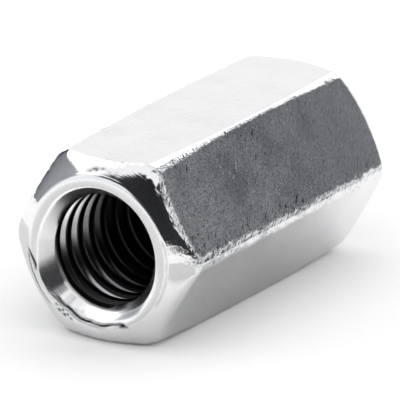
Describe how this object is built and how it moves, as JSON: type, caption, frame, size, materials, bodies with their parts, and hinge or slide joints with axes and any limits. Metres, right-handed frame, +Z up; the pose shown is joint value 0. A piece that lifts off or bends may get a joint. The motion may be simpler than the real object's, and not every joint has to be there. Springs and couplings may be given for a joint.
{
  "type": "hex coupling nut",
  "caption": "Long hexagon nut with chamfered ends and a thread right through, which joins two threaded rods end to end.",
  "frame": {"origin": "on the axis of the bore, at mid length", "axes": "+X along the bore, away from the end that faces the viewer in the picture; +Z up, square to the flat that the nut lies on; +Y across two corners of the hexagon"},
  "size_m": [0.0334, 0.0182, 0.0158],
  "materials": {
    "zinc_plated_steel": "bright zinc plate over cold-formed steel, mirror-like on some flats and fine-grained on others"
  },
  "bodies": {
    "root": {"hex_coupling_nut": "zinc_plated_steel"}
  },
  "joints": []
}
